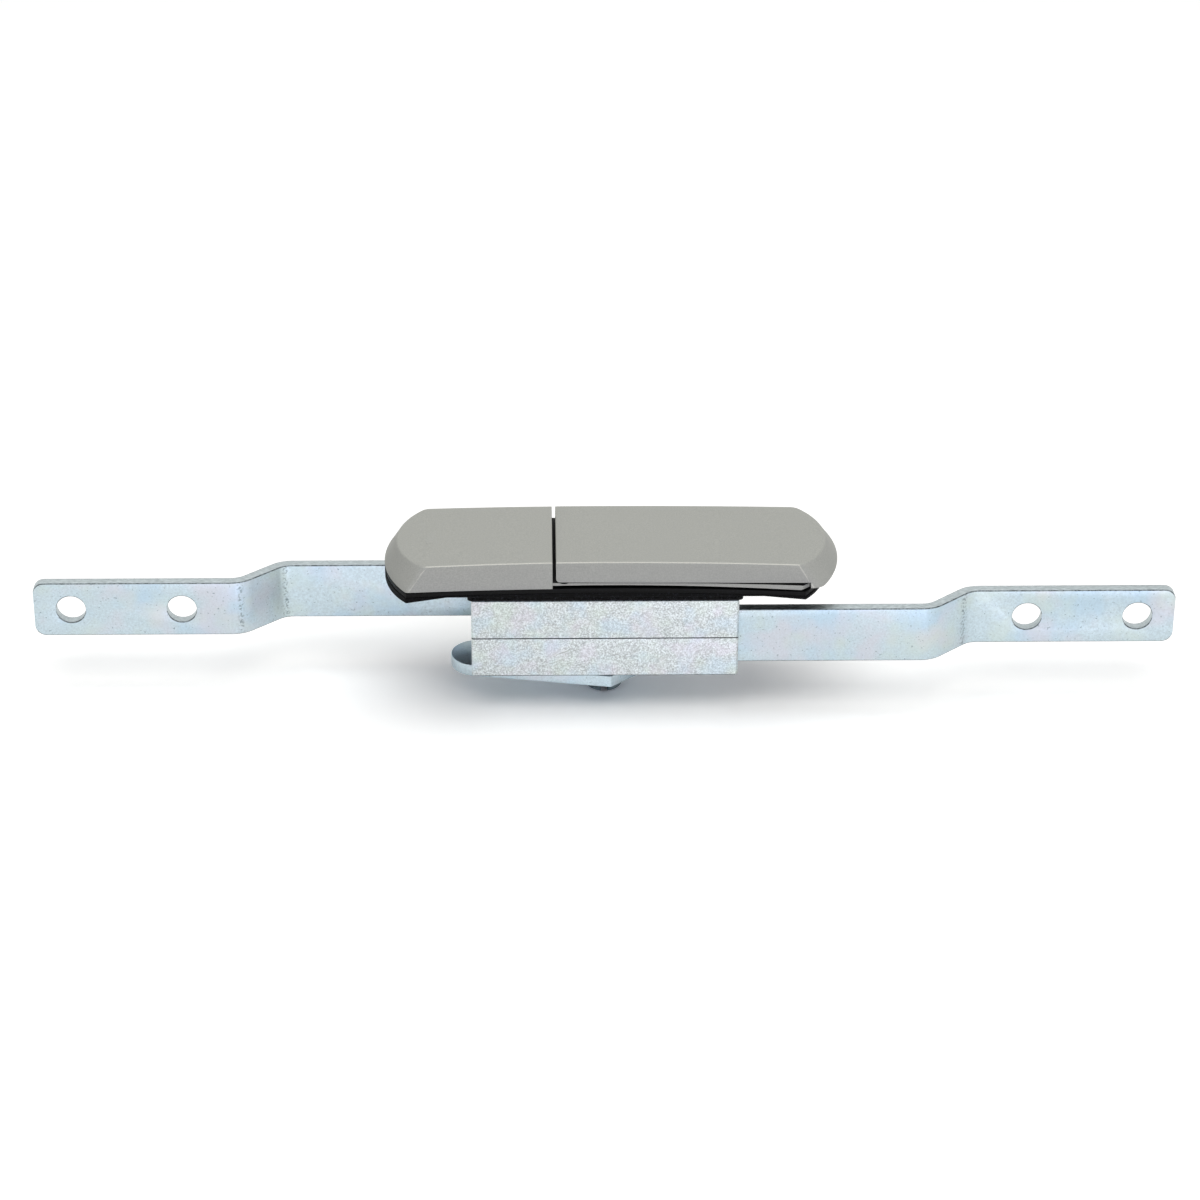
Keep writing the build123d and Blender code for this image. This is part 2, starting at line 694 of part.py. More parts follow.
with BuildPart() as head_cover_screws:
    screw_head_top = screw_seat - seat_clearance
    screw_end = handle_top - head_roof - axial_clearance
    for x, y in cover_screw_places:
        head_face = arch_height(x, frame_bottom_arch) + flush_clearance
        add(round_bar(cover_screw_head_diameter, head_face, screw_head_top, [(x, y)]))
        add(round_bar(cover_screw_diameter, screw_head_top, screw_end, [(x, y)]))
head_cover_screws.part.label = "head_cover_screws"
export_step(head_cover_screws.part, "parts/head_cover_screws.step")

with BuildPart() as retaining_ring:
    with BuildSketch(Plane.XY.offset(ring_bottom)):
        Circle(ring_outer_diameter / 2)
        Circle(ring_groove_diameter / 2, mode=Mode.SUBTRACT)
        with Locations((ring_outer_diameter / 2, 0)):
            Rectangle(ring_outer_diameter, ring_gap, mode=Mode.SUBTRACT)
    extrude(amount=ring_thickness)
retaining_ring.part.label = "retaining_ring"
export_step(retaining_ring.part, "parts/retaining_ring.step")

spindle_top = socket_boss_top - socket_roof - axial_clearance

with BuildPart() as square_spindle:
    add(square_bar(spindle_square, cam_bottom + flush_clearance, spindle_top))
    chamfer(square_spindle.faces().sort_by(Axis.Z)[-1].edges(), spindle_chamfer)
    add(round_bar(cam_screw_diameter + 2 * seat_clearance, cam_bottom,
                  spring_washer_bottom + cam_screw_length + cam_screw_tip_gap), mode=Mode.SUBTRACT)
square_spindle.part.label = "square_spindle"
export_step(square_spindle.part, "parts/square_spindle.step")

# ---------------------------------------------------------------- cam, washers and screw

with BuildPart() as cam:
    with BuildSketch(Plane.XY.offset(cam_bottom)):
        with Locations((-cam_tip_reach + cam_tip_radius, -cam_tip_offset)):
            Circle(cam_tip_radius)
        Polygon((cam_shoulder, -cam_half_width), (cam_tail_reach, -cam_tail_half_width),
                (cam_tail_reach, cam_tail_half_width), (cam_shoulder, cam_half_width), align=None)
        make_hull()
    extrude(amount=cam_thickness)
    add(square_bar(square_hole, cam_bottom, cam_top), mode=Mode.SUBTRACT)
cam.part.label = "cam"
export_step(cam.part, "parts/cam.step")

washer_hole = cam_screw_diameter + 2 * seat_clearance

with BuildPart() as cam_washer:
    add(round_bar(washer_diameter, washer_bottom, cam_bottom))
    add(round_bar(washer_hole, washer_bottom, cam_bottom), mode=Mode.SUBTRACT)
cam_washer.part.label = "cam_washer"
export_step(cam_washer.part, "parts/cam_washer.step")

with BuildPart() as cam_spring_washer:
    add(round_bar(spring_washer_diameter, spring_washer_bottom, washer_bottom))
    add(round_bar(washer_hole, spring_washer_bottom, washer_bottom), mode=Mode.SUBTRACT)
    with BuildSketch(Plane.XZ):
        with Locations(Location((0, (washer_bottom + spring_washer_bottom) / 2), -spring_washer_skew)):
            Rectangle(spring_washer_gap, 2 * spring_washer_height)
    extrude(amount=-spring_washer_diameter, mode=Mode.SUBTRACT)
cam_spring_washer.part.label = "cam_spring_washer"
export_step(cam_spring_washer.part, "parts/cam_spring_washer.step")

with BuildPart() as cam_screw:
    add(round_bar(cam_screw_head_diameter, cam_screw_bottom, spring_washer_bottom))
    chamfer(cam_screw.edges().sort_by(Axis.Z)[0], cam_screw_bevel)
    add(round_bar(cam_screw_diameter, spring_washer_bottom, spring_washer_bottom + cam_screw_length))
    with BuildSketch(Plane.XY.offset(cam_screw_bottom)):
        Rectangle(cam_screw_slot_width, cam_screw_head_diameter + overshoot)
    extrude(amount=cam_screw_slot_depth, mode=Mode.SUBTRACT)
cam_screw.part.label = "cam_screw"
export_step(cam_screw.part, "parts/cam_screw.step")

# ---------------------------------------------------------------- lever and its hinge

with BuildPart() as lever:
    far = lever_tip_low + overshoot
    with BuildSketch(Plane.XZ):
        with BuildLine():
            crest = ThreePointArc(*[(x, arch_height(x, lever_crown)) for x in (lever_root, far / 2, far)])
            corner = CenterArc((lever_root + root_round, lever_edge_root + root_round), root_round, 270, -90)
            Polyline(crest @ 1, (far, lip_bottom), (lip_start, lip_bottom), (lip_start, lever_edge_end),
                     corner @ 0)
            Line(corner @ 1, crest @ 0)
        make_face()
    extrude(amount=half_width_low, both=True)
    add(handle_form(), mode=Mode.INTERSECT)
    chamfer(lever.faces().sort_by(Axis.Z)[-1].edges(), edge_bevel)
    add(handle_slice(hinge_beam_end - pin_to_root, lip_start - lip_wall, lever_ceiling, below, lever_wall),
        mode=Mode.SUBTRACT)
    with BuildPart(mode=Mode.PRIVATE) as ribs:
        rib_end = lip_start - lip_wall / 2
        rib_middle = (lever_rib_start + rib_end) / 2
        rib_foot = (handle_top - lever_roof - lever_rib_depth, lever_crown_radius)
        cross_ribs = int((rib_end - lever_rib_start) / lever_cross_rib_pitch)
        with BuildSketch():
            with GridLocations(0, lever_rib_spacing, 1, 2):
                with Locations((rib_middle, 0)):
                    Rectangle(rib_end - lever_rib_start, lever_rib_thickness)
            with Locations(*[(lever_rib_start + (index + 0.5) * lever_cross_rib_pitch, 0)
                             for index in range(cross_ribs)]):
                Rectangle(lever_rib_thickness, 2 * half_width_high - lever_wall)
        extrude(amount=handle_top)
        add(arched_slab(lever_rib_start, rib_end, lever_crest, rib_foot), mode=Mode.INTERSECT)
    add(ribs.part)
    slot_radius = knuckle_radius + axial_clearance
    raised = Vector(-1, 0).rotate(Axis.Z, -lever_lift)
    knuckle_side = Vector(pin_x, pin_z) + raised * slot_radius
    post_foot = knuckle_side + raised.rotate(Axis.Z, 90) * 2 * pin_to_root
    with BuildSketch(Plane.XZ):
        with Locations((pin_x, pin_z)):
            Circle(slot_radius)
        with BuildLine():
            Polyline(knuckle_side, post_foot, (post_foot.X, 0), (0, 0), (0, pin_z + knuckle_radius),
                     (pin_x, pin_z + slot_radius), close=True)
        make_face()
    extrude(amount=knuckle_width / 2 + cover_clearance, both=True, mode=Mode.SUBTRACT)
    with BuildSketch(Plane.XZ.offset(knuckle_width / 2 + pin_grip)):
        with Locations((pin_x, pin_z)):
            Circle(hinge_pin_diameter / 2 + seat_clearance)
    extrude(amount=-2 * half_width_low, mode=Mode.SUBTRACT)
lever.part.label = "lever"
export_step(lever.part, "parts/lever.step")

with BuildPart() as hinge_pin:
    pin_front = knuckle_width / 2 + pin_grip - axial_clearance
    pin_rear = half_width_high - pin_recess
    with BuildSketch(Plane.XZ.offset(pin_front)):
        with Locations((pin_x, pin_z)):
            Circle(hinge_pin_diameter / 2)
    extrude(amount=-pin_front - pin_rear)
hinge_pin.part.label = "hinge_pin"
export_step(hinge_pin.part, "parts/hinge_pin.step")

with BuildPart() as lever_bumpers:
    bumper_foot = floor_top + axial_clearance / 2
    with BuildSketch(Plane.XY.offset(bumper_foot)):
        with Locations((bumper_place, -bumper_spacing / 2), (bumper_place, bumper_spacing / 2)):
            Rectangle(bumper_width, bumper_width)
    extrude(amount=handle_top)
    add(arched_slab(0, lip_start, lever_ceiling, below), mode=Mode.INTERSECT)
lever_bumpers.part.label = "lever_bumpers"
export_step(lever_bumpers.part, "parts/lever_bumpers.step")
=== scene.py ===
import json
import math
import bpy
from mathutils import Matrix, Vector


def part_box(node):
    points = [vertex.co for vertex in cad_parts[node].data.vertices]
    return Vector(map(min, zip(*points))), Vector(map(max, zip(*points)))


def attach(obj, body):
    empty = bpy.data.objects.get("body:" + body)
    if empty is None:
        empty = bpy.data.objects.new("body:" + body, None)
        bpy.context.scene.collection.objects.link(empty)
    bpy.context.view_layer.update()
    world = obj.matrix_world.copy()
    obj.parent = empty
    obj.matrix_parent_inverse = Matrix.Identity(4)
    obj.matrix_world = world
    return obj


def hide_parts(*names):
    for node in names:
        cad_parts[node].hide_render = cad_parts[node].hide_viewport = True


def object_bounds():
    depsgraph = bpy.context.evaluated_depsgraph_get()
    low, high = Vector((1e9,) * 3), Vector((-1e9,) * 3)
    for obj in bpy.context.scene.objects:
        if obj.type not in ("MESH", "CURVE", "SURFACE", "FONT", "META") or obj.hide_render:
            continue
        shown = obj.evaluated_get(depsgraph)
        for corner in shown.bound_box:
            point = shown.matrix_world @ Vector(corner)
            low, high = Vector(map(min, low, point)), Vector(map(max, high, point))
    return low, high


bl_info = {
    "name": "Swing Handle Lock",
    "version": (1, 0, 0),
    "blender": (4, 5, 0),
    "location": "View3D > Sidebar > Swing Lock",
    "description": "Dresses a swing handle lock with rack rods and a cam, and builds its studio",
    "category": "Object",
}

import bmesh
import bpy
from bpy.props import FloatProperty, FloatVectorProperty, IntProperty, PointerProperty
from mathutils import Matrix, Vector

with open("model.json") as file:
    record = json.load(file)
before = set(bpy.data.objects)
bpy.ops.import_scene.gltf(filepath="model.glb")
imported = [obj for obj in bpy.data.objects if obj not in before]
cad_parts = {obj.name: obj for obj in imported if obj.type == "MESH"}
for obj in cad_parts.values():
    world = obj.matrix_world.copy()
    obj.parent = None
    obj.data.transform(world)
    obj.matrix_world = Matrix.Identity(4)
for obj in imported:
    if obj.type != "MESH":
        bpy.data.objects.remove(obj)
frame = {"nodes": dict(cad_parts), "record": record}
cad_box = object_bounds()

MM = 0.001

# Places on the lock that the CAD's boxes don't give.
RIM_TOP = 4.3 * MM  # height above which the tray is painted black as shade, not silver
RIM_SHARE = 0.85  # share of the tray's reach past which its outer faces are silver
NECK_IN_VIEW = 2.9 * MM  # neck above the gearbox
SEAM_REACH = 0.14 * MM  # half the width of the painted shade line between the two housings
ROD_BENDS = (-98.4 * MM, -86.8 * MM, 96.9 * MM)  # X of the press marks across the rods
SLOT_REACH = 0.95 * MM  # half the width of the cam screw's slot, with its rounded rims
SLOT_DEPTH = 2.0 * MM

# A face's lean is the share of its normal along an axis: 0 is parallel to the axis, 1 is square.
LEVEL = 0.6  # floors and roofs of the tray
CORNER_LEAN = (0.2, 0.98)  # rounds of the gearbox shell
STRIP_LEAN = (0.15, 0.98)  # rounds of the rods
LONG_EDGE_LEAN = (0.50, 0.96)  # rounds along the covers
ENDWARD = 0.1  # least lean of a face that looks to the lock's ends
WALL_LEAN = 0.1  # most lean of an upright wall's normal along Z
WALL_SHARE = 0.95  # share of the neck's reach past which a wall is its outermost

MERGE_REACH = 0.0005 * MM  # loose triangles' corners closer than this are one point
FLAT = 0.2  # degrees within which faces are made one
FLAT_COVER = 0.02  # the same on the covers, whose crown turns slowly
SHARP = 30.0  # degrees from which an edge is rounded
SHARP_COVER = 18.0

TINT_STEP = 0.1  # metres from one tint's clouds to the next, so that they don't coincide

GRAIN_DENSITY = 4.0e7  # most grains of foam for each square metre
FOAM_SEED = 7

FLOOR_GAP = 0.1 * MM  # under the lowest point of the lock
FLOOR_REACH = 4.0  # from its middle to each side
FLOOR_FADE = 0.35  # distance from which the floor turns plain white
FLOOR_WHITE = 1.0  # and where it is
FLOOR_LIFT = 1.3  # paper's brightness where it is seen
FLOOR_BOUNCE = 0.4  # and where it only lights the lock
SHADED_SIDE = Vector((-0.3, -0.5, -0.8))  # the way that the fill light is weakest
SHADE_RANGE = (-0.8, 0.2)  # from full fill light to the weakest, along SHADED_SIDE
AIM_OFFSET = Vector((-1.1, 0.0, 2.8)) * MM  # camera's aim from the middle of the lock


# ---------------------------------------------------------------- colour and nodes


def srgb(hex_code):
    """Linear RGBA of an sRGB hex colour such as "A0B0C0"."""
    channels = [int(hex_code[i : i + 2], 16) / 255 for i in (0, 2, 4)]
    linear = [c / 12.92 if c <= 0.04045 else ((c + 0.055) / 1.055) ** 2.4 for c in channels]
    return (*linear, 1.0)


def shaded(colour, share):
    """A colour with each channel at a share of itself, no brighter than white."""
    return (*(min(1.0, c * share) for c in colour[:3]), 1.0)


def add_node(tree, kind, inputs=None, **settings):
    """Adds a node, sets its settings, and sets or links its inputs."""
    node = tree.nodes.new(kind)
    for name, value in settings.items():
        setattr(node, name, value)
    for key, value in (inputs or {}).items():
        if isinstance(value, bpy.types.NodeSocket):
            tree.links.new(value, node.inputs[key])
        else:
            node.inputs[key].default_value = value
    return node


def new_material(name):
    """A material with its tree, still empty but for its Object coordinates."""
    material = bpy.data.materials.new(name)
    material.use_nodes = True
    tree = material.node_tree
    tree.nodes.clear()
    return material, tree, add_node(tree, "ShaderNodeTexCoord").outputs["Object"]


def grain(tree, place, size, detail=2.0, roughness=0.5, stretch=(1.0, 1.0, 1.0)):
    """Noise from 0 to 1 whose spots are about size metres wide, longer where stretch is over 1."""
    scaled = add_node(
        tree,
        "ShaderNodeMapping",
        {"Vector": place, "Scale": tuple(1 / (size * s) for s in stretch)},
    )
    noise = add_node(
        tree,
        "ShaderNodeTexNoise",
        {"Vector": scaled.outputs[0], "Scale": 1.0, "Detail": detail, "Roughness": roughness},
    )
    return noise.outputs["Fac"]


def two_tones(tree, pattern, low, high, first, second, most=1.0):
    """First colour where a pattern is under low, turned into the second by most over high."""
    share = add_node(
        tree,
        "ShaderNodeMapRange",
        {"Value": pattern, "From Min": low, "From Max": high, "To Max": most},
    ).outputs[0]
    mix = add_node(tree, "ShaderNodeMix", {0: share, 6: first, 7: second}, data_type="RGBA")
    return mix.outputs[2]


def add_surface(tree, colour, settings, pattern=None, roughness=None, depth=None):
    """A Principled surface of a colour and plain settings. A pattern, where it is given, takes the
    roughness from its first value to its second, and raises the surface by depth metres."""
    inputs = {"Base Color": colour, **settings}
    if roughness is not None:
        smooth, rough = roughness
        inputs["Roughness"] = add_node(
            tree,
            "ShaderNodeMapRange",
            {"Value": pattern, "From Min": 0.3, "From Max": 0.7, "To Min": smooth, "To Max": rough},
        ).outputs[0]
    if depth is not None:
        inputs["Normal"] = add_node(
            tree, "ShaderNodeBump", {"Height": pattern, "Distance": depth, "Strength": 1.0}
        ).outputs[0]
    shader = add_node(tree, "ShaderNodeBsdfPrincipled", inputs)
    add_node(tree, "ShaderNodeOutputMaterial", {"Surface": shader.outputs[0]})


# ---------------------------------------------------------------- materials


def lacquer(tree, place, colour, metallic):
    """A sprayed satin lacquer of one colour with a fine sparkle of aluminium flake. The real
    flakes are far finer, and these are as coarse as it takes to show."""
    flakes = grain(tree, place, 0.35 * MM, detail=1.0)
    clouds = grain(tree, place, 14 * MM, detail=1.0)
    flaked = two_tones(tree, flakes, 0.3, 0.7, shaded(colour, 0.90), shaded(colour, 1.10))
    clouded = two_tones(tree, clouds, 0.35, 0.65, flaked, colour[:], most=0.25)
    settings = {"Metallic": metallic, "Specular IOR Level": 0.25}
    add_surface(tree, clouded, settings, flakes, roughness=(0.46, 0.56), depth=0.006 * MM)


def silver_paint(look, tree, place):
    """Aluminium-flake lacquer sprayed on a die casting: an even satin grey with a fine sparkle."""
    lacquer(tree, place, look.paint_colour, metallic=0.05)


def edge_highlight_paint(look, tree, place):
    """The same lacquer, paler and more metallic, as a painted highlight along the covers' long
    edges.
    """
    lacquer(tree, place, look.edge_highlight_colour, metallic=0.2)


def tinted(tree, place, colour, tints):
    """A colour with soft clouds of other tints, each given as colour, cloud size and strength."""
    for number, (tint, size, strength) in enumerate(tints):
        aside = {"Vector": place, "Location": (TINT_STEP * number, 0.0, 0.0)}
        moved = add_node(tree, "ShaderNodeMapping", aside).outputs[0]
        cloud = grain(tree, moved, size)
        colour = two_tones(tree, cloud, 0.50, 0.68, colour, srgb(tint), most=strength)
    return colour


def scratches(tree, place, angle, width, length):
    """Up to 1 on a few fine straight scratches that lie at an angle to X, and 0 elsewhere."""
    turn = {"Vector": place, "Rotation": (0.0, angle, 0.0)}
    turned = add_node(tree, "ShaderNodeMapping", turn).outputs[0]
    along = length / width
    streaks = grain(tree, turned, width, detail=0.0, stretch=(along, along, 1.0))
    patches = grain(tree, place, 9 * MM, detail=0.0)
    fine = add_node(
        tree, "ShaderNodeMapRange", {"Value": streaks, "From Min": 0.72, "From Max": 0.78}
    ).outputs[0]
    few = add_node(
        tree,
        "ShaderNodeMapRange",
        {"Value": patches, "From Min": 0.55, "From Max": 0.60, "To Max": 0.7},
    ).outputs[0]
    return add_node(tree, "ShaderNodeMath", {0: fine, 1: few}, operation="MULTIPLY").outputs[0]


def zinc_casting(look, tree, place):
    """Bright zinc plate on a die casting: pale, speckled like orange peel, with a few scratches."""
    speckle = grain(tree, place, 0.42 * MM, detail=2.0, roughness=0.6)
    dark, pale = shaded(look.casting_colour, 0.60), shaded(look.casting_colour, 1.24)
    speckled = two_tones(tree, speckle, 0.34, 0.66, dark, pale)
    clouds = (("B9D2E4", 7 * MM, 0.32), ("D4C9D8", 6 * MM, 0.30), ("CBDAC8", 8 * MM, 0.25))
    clouded = tinted(tree, place, speckled, clouds)
    scratch = scratches(tree, place, angle=0.35, width=0.3 * MM, length=7 * MM)
    marked = two_tones(tree, scratch, 0.0, 1.0, clouded, srgb("8E948C"))
    add_surface(tree, marked, {"Metallic": 1.0}, speckle, roughness=(0.36, 0.5), depth=0.02 * MM)


def press_marks(tree, place):
    """Up to 1 on the specks that the press leaves in a line across each bend of a rod."""
    across = add_node(tree, "ShaderNodeSeparateXYZ", {"Vector": place}).outputs["X"]
    near = 0.0
    for bend in ROD_BENDS:
        offset = add_node(tree, "ShaderNodeMath", {0: across, 1: bend}, operation="SUBTRACT")
        away = add_node(tree, "ShaderNodeMath", {0: offset.outputs[0]}, operation="ABSOLUTE")
        reach = {"From Min": 0.3 * MM, "From Max": 1.0 * MM, "To Min": 0.6, "To Max": 0.0}
        close = add_node(tree, "ShaderNodeMapRange", {"Value": away.outputs[0], **reach})
        both = {0: close.outputs[0], 1: near}
        near = add_node(tree, "ShaderNodeMath", both, operation="MAXIMUM").outputs[0]
    dents = grain(tree, place, 0.6 * MM, detail=1.0)
    specks = add_node(
        tree, "ShaderNodeMapRange", {"Value": dents, "From Min": 0.50, "From Max": 0.60}
    ).outputs[0]
    return add_node(tree, "ShaderNodeMath", {0: specks, 1: near}, operation="MULTIPLY").outputs[0]


def zinc_plate(look, tree, place):
    """Blue-passivated zinc on rolled steel strip: cool, with wide soft tints and fine dark pits."""
    mottle = grain(tree, place, 0.55 * MM, detail=3.0, roughness=0.6)
    pits = grain(tree, place, 0.6 * MM, detail=1.0)
    dark, pale = shaded(look.plate_colour, 0.87), shaded(look.plate_colour, 1.08)
    mottled = two_tones(tree, mottle, 0.34, 0.66, dark, pale)
    clouds = (("A9C6DC", 13 * MM, 0.40), ("CFC5CE", 11 * MM, 0.40), ("C4CFC2", 9 * MM, 0.35))
    clouded = tinted(tree, place, mottled, clouds)
    pitted = two_tones(tree, pits, 0.70, 0.76, clouded, srgb("76868C"), most=0.75)
    marked = two_tones(tree, press_marks(tree, place), 0.0, 1.0, pitted, srgb("6B777B"))
    add_surface(tree, marked, {"Metallic": 1.0}, mottle, roughness=(0.32, 0.44), depth=0.010 * MM)


def sheared_edge(look, tree, place):
    """Zinc over the strip's sheared edge: greyer than its faces, with drag lines from the blade."""
    drag = grain(tree, place, 0.4 * MM, detail=2.0, stretch=(3.0, 1.0, 1.0))
    grey = two_tones(tree, drag, 0.3, 0.7, srgb("A4AEB0"), srgb("C8D1D3"))
    add_surface(tree, grey, {"Metallic": 1.0}, drag, roughness=(0.34, 0.5), depth=0.02 * MM)


def corner_shade_line(look, tree, place):
    """A dull grey line painted along a corner as shade, with darker blotches."""
    blotches = grain(tree, place, 0.8 * MM, detail=2.0, roughness=0.7)
    grey = two_tones(tree, blotches, 0.35, 0.60, srgb("3C4447"), srgb("858F92"))
    add_surface(tree, grey, {"Metallic": 0.5, "Roughness": 0.6})


def recess_shade(look, tree, place):
    """Painted shade in the line between the housings and in the screw's slot: black and patchy."""
    patches = grain(tree, place, 1.5 * MM, detail=3.0, roughness=0.7)
    recess_black = two_tones(tree, patches, 0.40, 0.62, srgb("0C0D0F"), srgb("3A4044"))
    add_surface(tree, recess_black, {"Roughness": 0.6, "Specular IOR Level": 0.3})


def bright_steel(look, tree, place):
    """Zinc-plated turned steel, as on screws and washers: darker than the strip, with turning
    marks that catch the light, drawn coarser than real ones so that they show."""
    mottle = grain(tree, place, 2 * MM, detail=2.0)
    turning = grain(tree, place, 0.25 * MM, detail=1.0, stretch=(8.0, 8.0, 1.0))
    steel = two_tones(tree, mottle, 0.4, 0.7, srgb("8F9A9F"), srgb("616D73"))
    add_surface(tree, steel, {"Metallic": 1.0}, turning, roughness=(0.14, 0.26), depth=0.004 * MM)


def gasket_rubber(look, tree, place):
    """Black EPDM sheet: dull with a slight sheen and a fine talc bloom."""
    pores = grain(tree, place, 0.45 * MM, detail=2.0, roughness=0.7)
    dusty = two_tones(tree, pores, 0.55, 0.68, look.rubber_colour[:], srgb("2A2B30"), most=0.8)
    settings = {"Specular IOR Level": 0.08}
    add_surface(tree, dusty, settings, pores, roughness=(0.55, 0.72), depth=0.02 * MM)


def cell_foam(look, tree, place):
    """Black closed-cell foam: cut cells catch the light as small grey grains."""
    cells = grain(tree, place, 0.8 * MM, detail=2.0, roughness=0.7)
    grained = two_tones(tree, cells, 0.56, 0.64, look.rubber_colour[:], srgb("3C3F44"))
    add_surface(tree, grained, {"Roughness": 0.6, "Specular IOR Level": 0.08})


def black_nylon(look, tree, place):
    """Moulded black nylon: matt from a spark-eroded mould."""
    texture = grain(tree, place, 0.5 * MM, detail=2.0, roughness=0.7)
    worn = two_tones(tree, texture, 0.52, 0.70, look.rubber_colour[:], srgb("202224"), most=0.6)
    settings = {"Specular IOR Level": 0.12}
    add_surface(tree, worn, settings, texture, roughness=(0.42, 0.6), depth=0.012 * MM)


def painted_shade_casting(look, tree, place):
    """Black painted shade on the casting's faces under the covers, where the gap between them and
    the crease under the lever fall in shade: dull and blotchy.
    """
    dust = grain(tree, place, 0.8 * MM, detail=3.0)
    shade_black = two_tones(tree, dust, 0.4, 0.8, srgb("171717"), srgb("2B2B2A"))
    add_surface(tree, shade_black, {"Specular IOR Level": 0.2}, dust, roughness=(0.6, 0.75))


def white_acetal(look, tree, place):
    """Moulded acetal: waxy white and slightly see-through at its edges."""
    flow = grain(tree, place, 3 * MM, detail=1.0)
    cream = two_tones(tree, flow, 0.3, 0.7, srgb("E9E6DC"), srgb("F2F0E8"))
    add_surface(tree, cream, {"IOR": 1.48}, flow, roughness=(0.32, 0.4))


def sintered_steel(look, tree, place):
    """Pressed and sintered steel: dark grey, porous and dull with oil."""
    pores = grain(tree, place, 0.3 * MM, detail=3.0, roughness=0.7)
    grey = two_tones(tree, pores, 0.3, 0.7, srgb("5E605F"), srgb("8B8D8C"))
    add_surface(tree, grey, {"Metallic": 1.0}, pores, roughness=(0.38, 0.55), depth=0.02 * MM)


def turned_brass(look, tree, place):
    """Turned brass: warm yellow with rings from the lathe, coarser than real so that they show."""
    rings = grain(tree, place, 0.2 * MM, detail=1.0, stretch=(20.0, 20.0, 1.0))
    brass = two_tones(tree, rings, 0.3, 0.7, srgb("C9A24E"), srgb("DDBB6C"))
    add_surface(tree, brass, {"Metallic": 1.0}, rings, roughness=(0.18, 0.3))


FINISHES = {
    "silver_paint": ("satin silver lacquer", silver_paint),
    "edge_highlight_paint": ("satin silver lacquer with a painted edge highlight", edge_highlight_paint),
    "painted_shade_casting": ("black painted shade in the casting", painted_shade_casting),
    "zinc_casting": ("zinc plated casting", zinc_casting),
    "zinc_plate": ("blue zinc plated strip", zinc_plate),
    "sheared_edge": ("zinc plated sheared edge", sheared_edge),
    "corner_shade_line": ("painted shade along the zinc corners", corner_shade_line),
    "recess_shade": ("painted shade in seams and slots", recess_shade),
    "plated_steel": ("bright plated steel", bright_steel),
    "sintered_steel": ("sintered steel", sintered_steel),
    "spring_steel": ("bright plated spring steel", bright_steel),
    "brass": ("turned brass", turned_brass),
    "black_nylon": ("moulded black nylon", black_nylon),
    "white_acetal": ("white acetal", white_acetal),
    "gasket_rubber": ("black EPDM gasket", gasket_rubber),
    "cell_foam": ("black cell foam", cell_foam),
}


def finish_material(look, finish):
    """The one material of a finish, made when it is first asked for."""
    name, fill_tree = FINISHES[finish]
    material = bpy.data.materials.get(name)
    if material is None:
        material, tree, place = new_material(name)
        fill_tree(look, tree, place)
    return material


# ---------------------------------------------------------------- shapes


def node_slot(node):
    """The record's material slot of a CAD node."""
    for subpart in frame["record"]["subparts"]:
        if subpart["node"] == node:
            return subpart["material_slot"]
    raise ValueError(f"no material slot for {node}")


def node_body(node):
    """The body that a CAD node rides on."""
    for body, members in frame["record"]["behaviour"]["bodies"].items():
        if node in members:
            return body
    raise ValueError(f"no body for {node}")


def link_object(name, mesh, material):
    """A new object for a mesh, with one material."""
    piece = bpy.data.objects.new(name, mesh)
    bpy.context.scene.collection.objects.link(piece)
    mesh.materials.clear()
    mesh.materials.append(material)
    return piece


def flatten(piece):
    """Turns what a piece's modifiers make of it into its plain mesh."""
    seen = piece.evaluated_get(bpy.context.evaluated_depsgraph_get())
    old = piece.data
    piece.data = bpy.data.meshes.new_from_object(seen)
    piece.modifiers.clear()
    bpy.data.meshes.remove(old)


def finish_faces(piece, look, finish, chosen):
    """Gives the faces of a piece that chosen picks a finish of their own."""
    piece.data.materials.append(finish_material(look, finish))
    for face in piece.data.polygons:
        if chosen(face):
            face.material_index = len(piece.data.materials) - 1


def is_corner(face):
    """True for a face of the round between an upright face and a level one."""
    low, high = CORNER_LEAN
    return low < abs(face.normal.z) < high


def is_strip_corner(face):
    """True for a face of the round between a strip's broad face and its edge."""
    low, high = STRIP_LEAN
    return low < abs(face.normal.y) < high and abs(face.normal.z) > low


def is_strip_edge(face):
    """True for a face of a strip's sheared edge, its ends and the walls of its holes."""
    return abs(face.normal.y) < STRIP_LEAN[0]


def is_long_edge(face):
    """True for a face of the round along a cover's long sides, between its top and its side."""
    low, high = LONG_EDGE_LEAN
    return low < face.normal.z < high and abs(face.normal.x) < ENDWARD


def merged_shape(mesh):
    """An editable copy of a CAD node's mesh with its loose triangles joined."""
    shape = bmesh.new()
    shape.from_mesh(mesh)
    bmesh.ops.remove_doubles(shape, verts=shape.verts, dist=MERGE_REACH)
    return shape


def rounded_copy(name, node, look, edge_round, sharp=SHARP, flat=FLAT, clamp=True):
    """A copy of a CAD node that stands for it, with its edges rounded from the angle sharp and its
    faces made one within the angle flat. Unclamped, a round is full size next to short edges."""
    mesh = frame["nodes"][node].data.copy()
    shape = merged_shape(mesh)
    bmesh.ops.dissolve_limit(
        shape,
        angle_limit=math.radians(flat),
        verts=shape.verts,
        edges=shape.edges,
        delimit={"NORMAL"},
    )
    for face in shape.faces:
        face.smooth = True
    shape.to_mesh(mesh)
    shape.free()
    slot = node_slot(node)
    piece = link_object(name, mesh, finish_material(look, slot))
    bevel = piece.modifiers.new("rounded edges", "BEVEL")
    bevel.width = edge_round
    bevel.segments = look.edge_segments
    bevel.limit_method = "ANGLE"
    bevel.angle_limit = math.radians(sharp)
    bevel.use_clamp_overlap = clamp
    bevel.harden_normals = True
    flatten(piece)
    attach(piece, node_body(node))
    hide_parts(node)
    return piece


